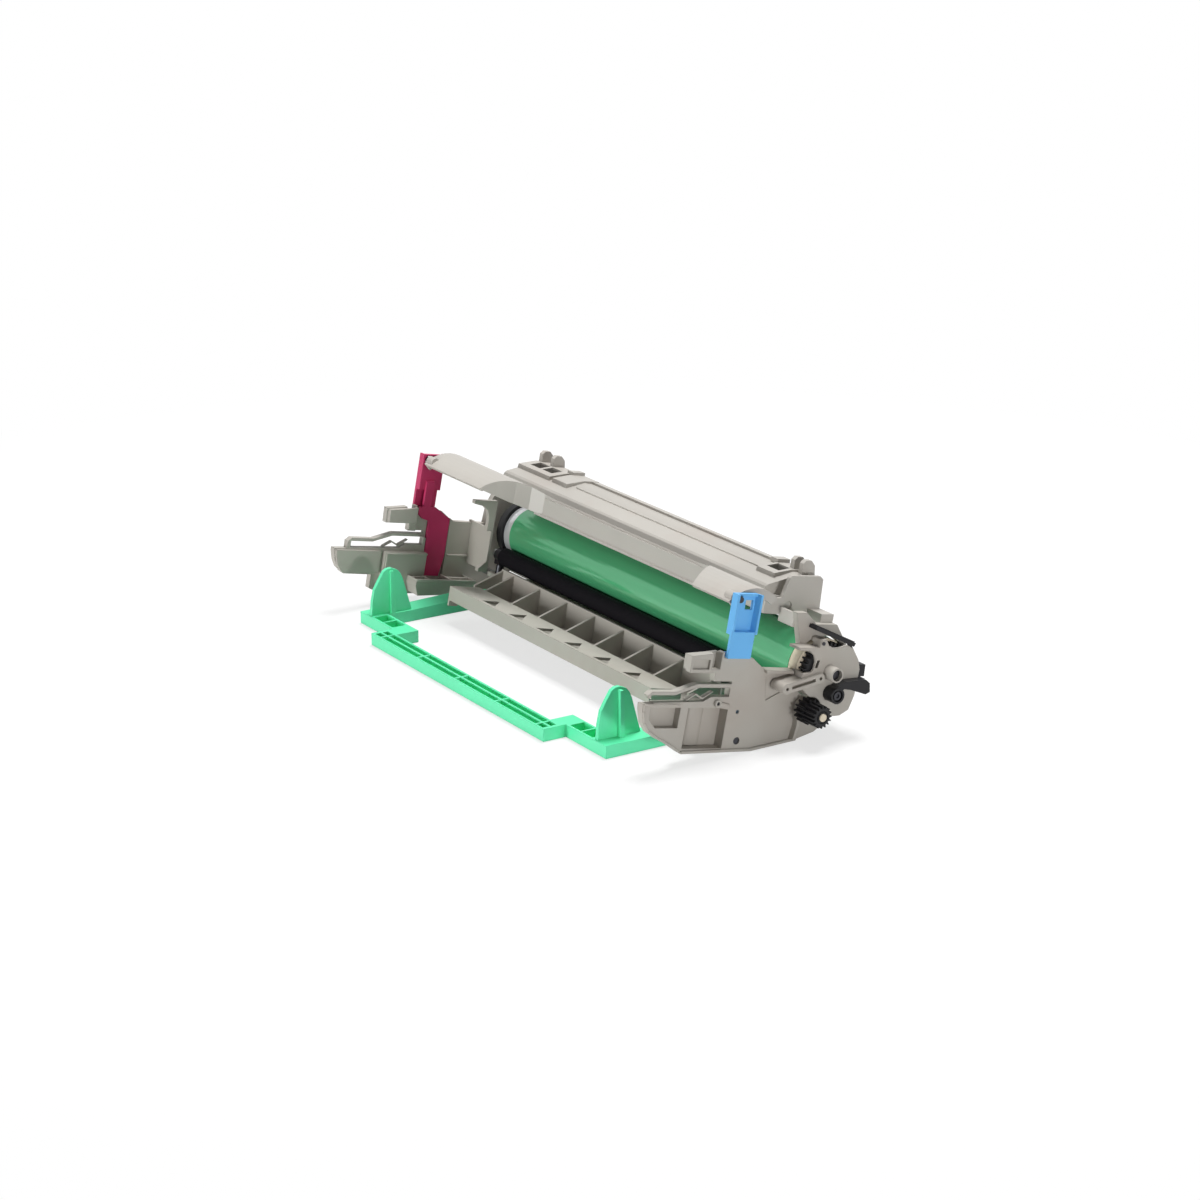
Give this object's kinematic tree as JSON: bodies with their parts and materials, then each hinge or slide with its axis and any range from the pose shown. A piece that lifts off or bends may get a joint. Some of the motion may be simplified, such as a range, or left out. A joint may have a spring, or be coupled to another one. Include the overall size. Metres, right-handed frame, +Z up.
{
  "type": "printer drum unit",
  "caption": "Printer drum unit: a coated drum in a grey moulded frame with a ribbed trough, gear train, swinging shutter on two coloured slide links and a green U-shaped handle.",
  "frame": {"origin": "centre of the footprint at the floor", "axes": "+X along the drum toward the gear end, -Y toward the handle, +Z up"},
  "size_m": [0.3133, 0.139, 0.0794],
  "materials": {
    "grey_plastic": "fine moulded texture",
    "green_plastic": "smooth moulded",
    "magenta_plastic": "smooth moulded",
    "blue_plastic": "smooth moulded",
    "drum_coating": "glossy coating on an aluminium tube",
    "black_plastic": "moulded",
    "black_rubber": "matte",
    "cream_plastic": "moulded",
    "steel": "bright"
  },
  "bodies": {
    "frame": {"left_side_plate": "grey_plastic", "right_side_plate": "grey_plastic", "gear_cover": "grey_plastic", "cover_bush": "black_plastic", "gear_guard": "black_plastic", "side_screws": "steel", "latch_screw": "steel", "pinion_shaft": "cream_plastic", "drum_shaft": "steel", "trough": "grey_plastic", "rear_frame": "grey_plastic", "handle_pins": "steel", "roller_bearings": "black_plastic", "roller_springs": "steel", "cleaner_box": "grey_plastic", "blade_bracket": "steel", "blade_lip": "black_rubber", "guide_springs": "steel"},
    "drum": {"drum_tube": "drum_coating", "drum_left_flange": "black_plastic", "drum_right_collar": "cream_plastic", "drum_gear": "black_plastic"},
    "idler": {"idler_gear": "black_plastic"},
    "pinion": {"drive_pinion": "black_plastic"},
    "charge": {"charge_roller": "black_rubber", "roller_core": "steel"},
    "lever": {"latch_lever": "black_plastic"},
    "shutter": {"shutter": "grey_plastic", "shutter_pins": "steel"},
    "left_slider": {"left_link": "magenta_plastic"},
    "right_slider": {"right_link": "blue_plastic"},
    "handle": {"handle": "green_plastic"}
  },
  "joints": [
    {"name": "drum_spin", "type": "hinge", "parent": "frame", "child": "drum", "pos_m": [-0.0081, 0.04542, 0.03379], "axis": [1, 0, 0], "continuous": true},
    {"name": "idler_spin", "type": "hinge", "parent": "frame", "child": "idler", "pos_m": [0.1419, 0.04396, 0.01657], "axis": [1, 0, 0], "continuous": true},
    {"name": "pinion_spin", "type": "hinge", "parent": "frame", "child": "pinion", "pos_m": [0.1469, 0.03428, 0.01629], "axis": [1, 0, 0], "continuous": true},
    {"name": "charge_spin", "type": "hinge", "parent": "frame", "child": "charge", "pos_m": [-0.0081, 0.02765, 0.0241], "axis": [1, 0, 0], "continuous": true},
    {"name": "lever_turn", "type": "hinge", "parent": "frame", "child": "lever", "pos_m": [0.1489, 0.04587, 0.02351], "axis": [1, 0, 0], "range_deg": [0, 20]},
    {"name": "shutter_swing", "type": "hinge", "parent": "frame", "child": "shutter", "pos_m": [-0.0081, 0.03762, 0.06179], "axis": [1, 0, 0], "range_deg": [0, 12.3]},
    {"name": "left_slide", "type": "slide", "parent": "frame", "child": "left_slider", "axis": [0, 0.1908, 0.9816], "range_m": [-0.00895, 0]},
    {"name": "right_slide", "type": "slide", "parent": "frame", "child": "right_slider", "axis": [0, 0.1908, 0.9816], "range_m": [-0.00895, 0]},
    {"name": "handle_lift", "type": "hinge", "parent": "frame", "child": "handle", "pos_m": [-0.0081, 0.03278, 0.00802], "axis": [-1, 0, 0], "range_deg": [0, 10]}
  ],
  "couplings": [
    {"joint": "idler_spin", "follows": "drum_spin", "ratio": -3.3},
    {"joint": "pinion_spin", "follows": "drum_spin", "ratio": 2.3571},
    {"joint": "charge_spin", "follows": "drum_spin", "ratio": -3.0612},
    {"joint": "left_slide", "follows": "shutter_swing", "m_per_rad": -0.040753},
    {"joint": "right_slide", "follows": "shutter_swing", "m_per_rad": -0.040753}
  ]
}
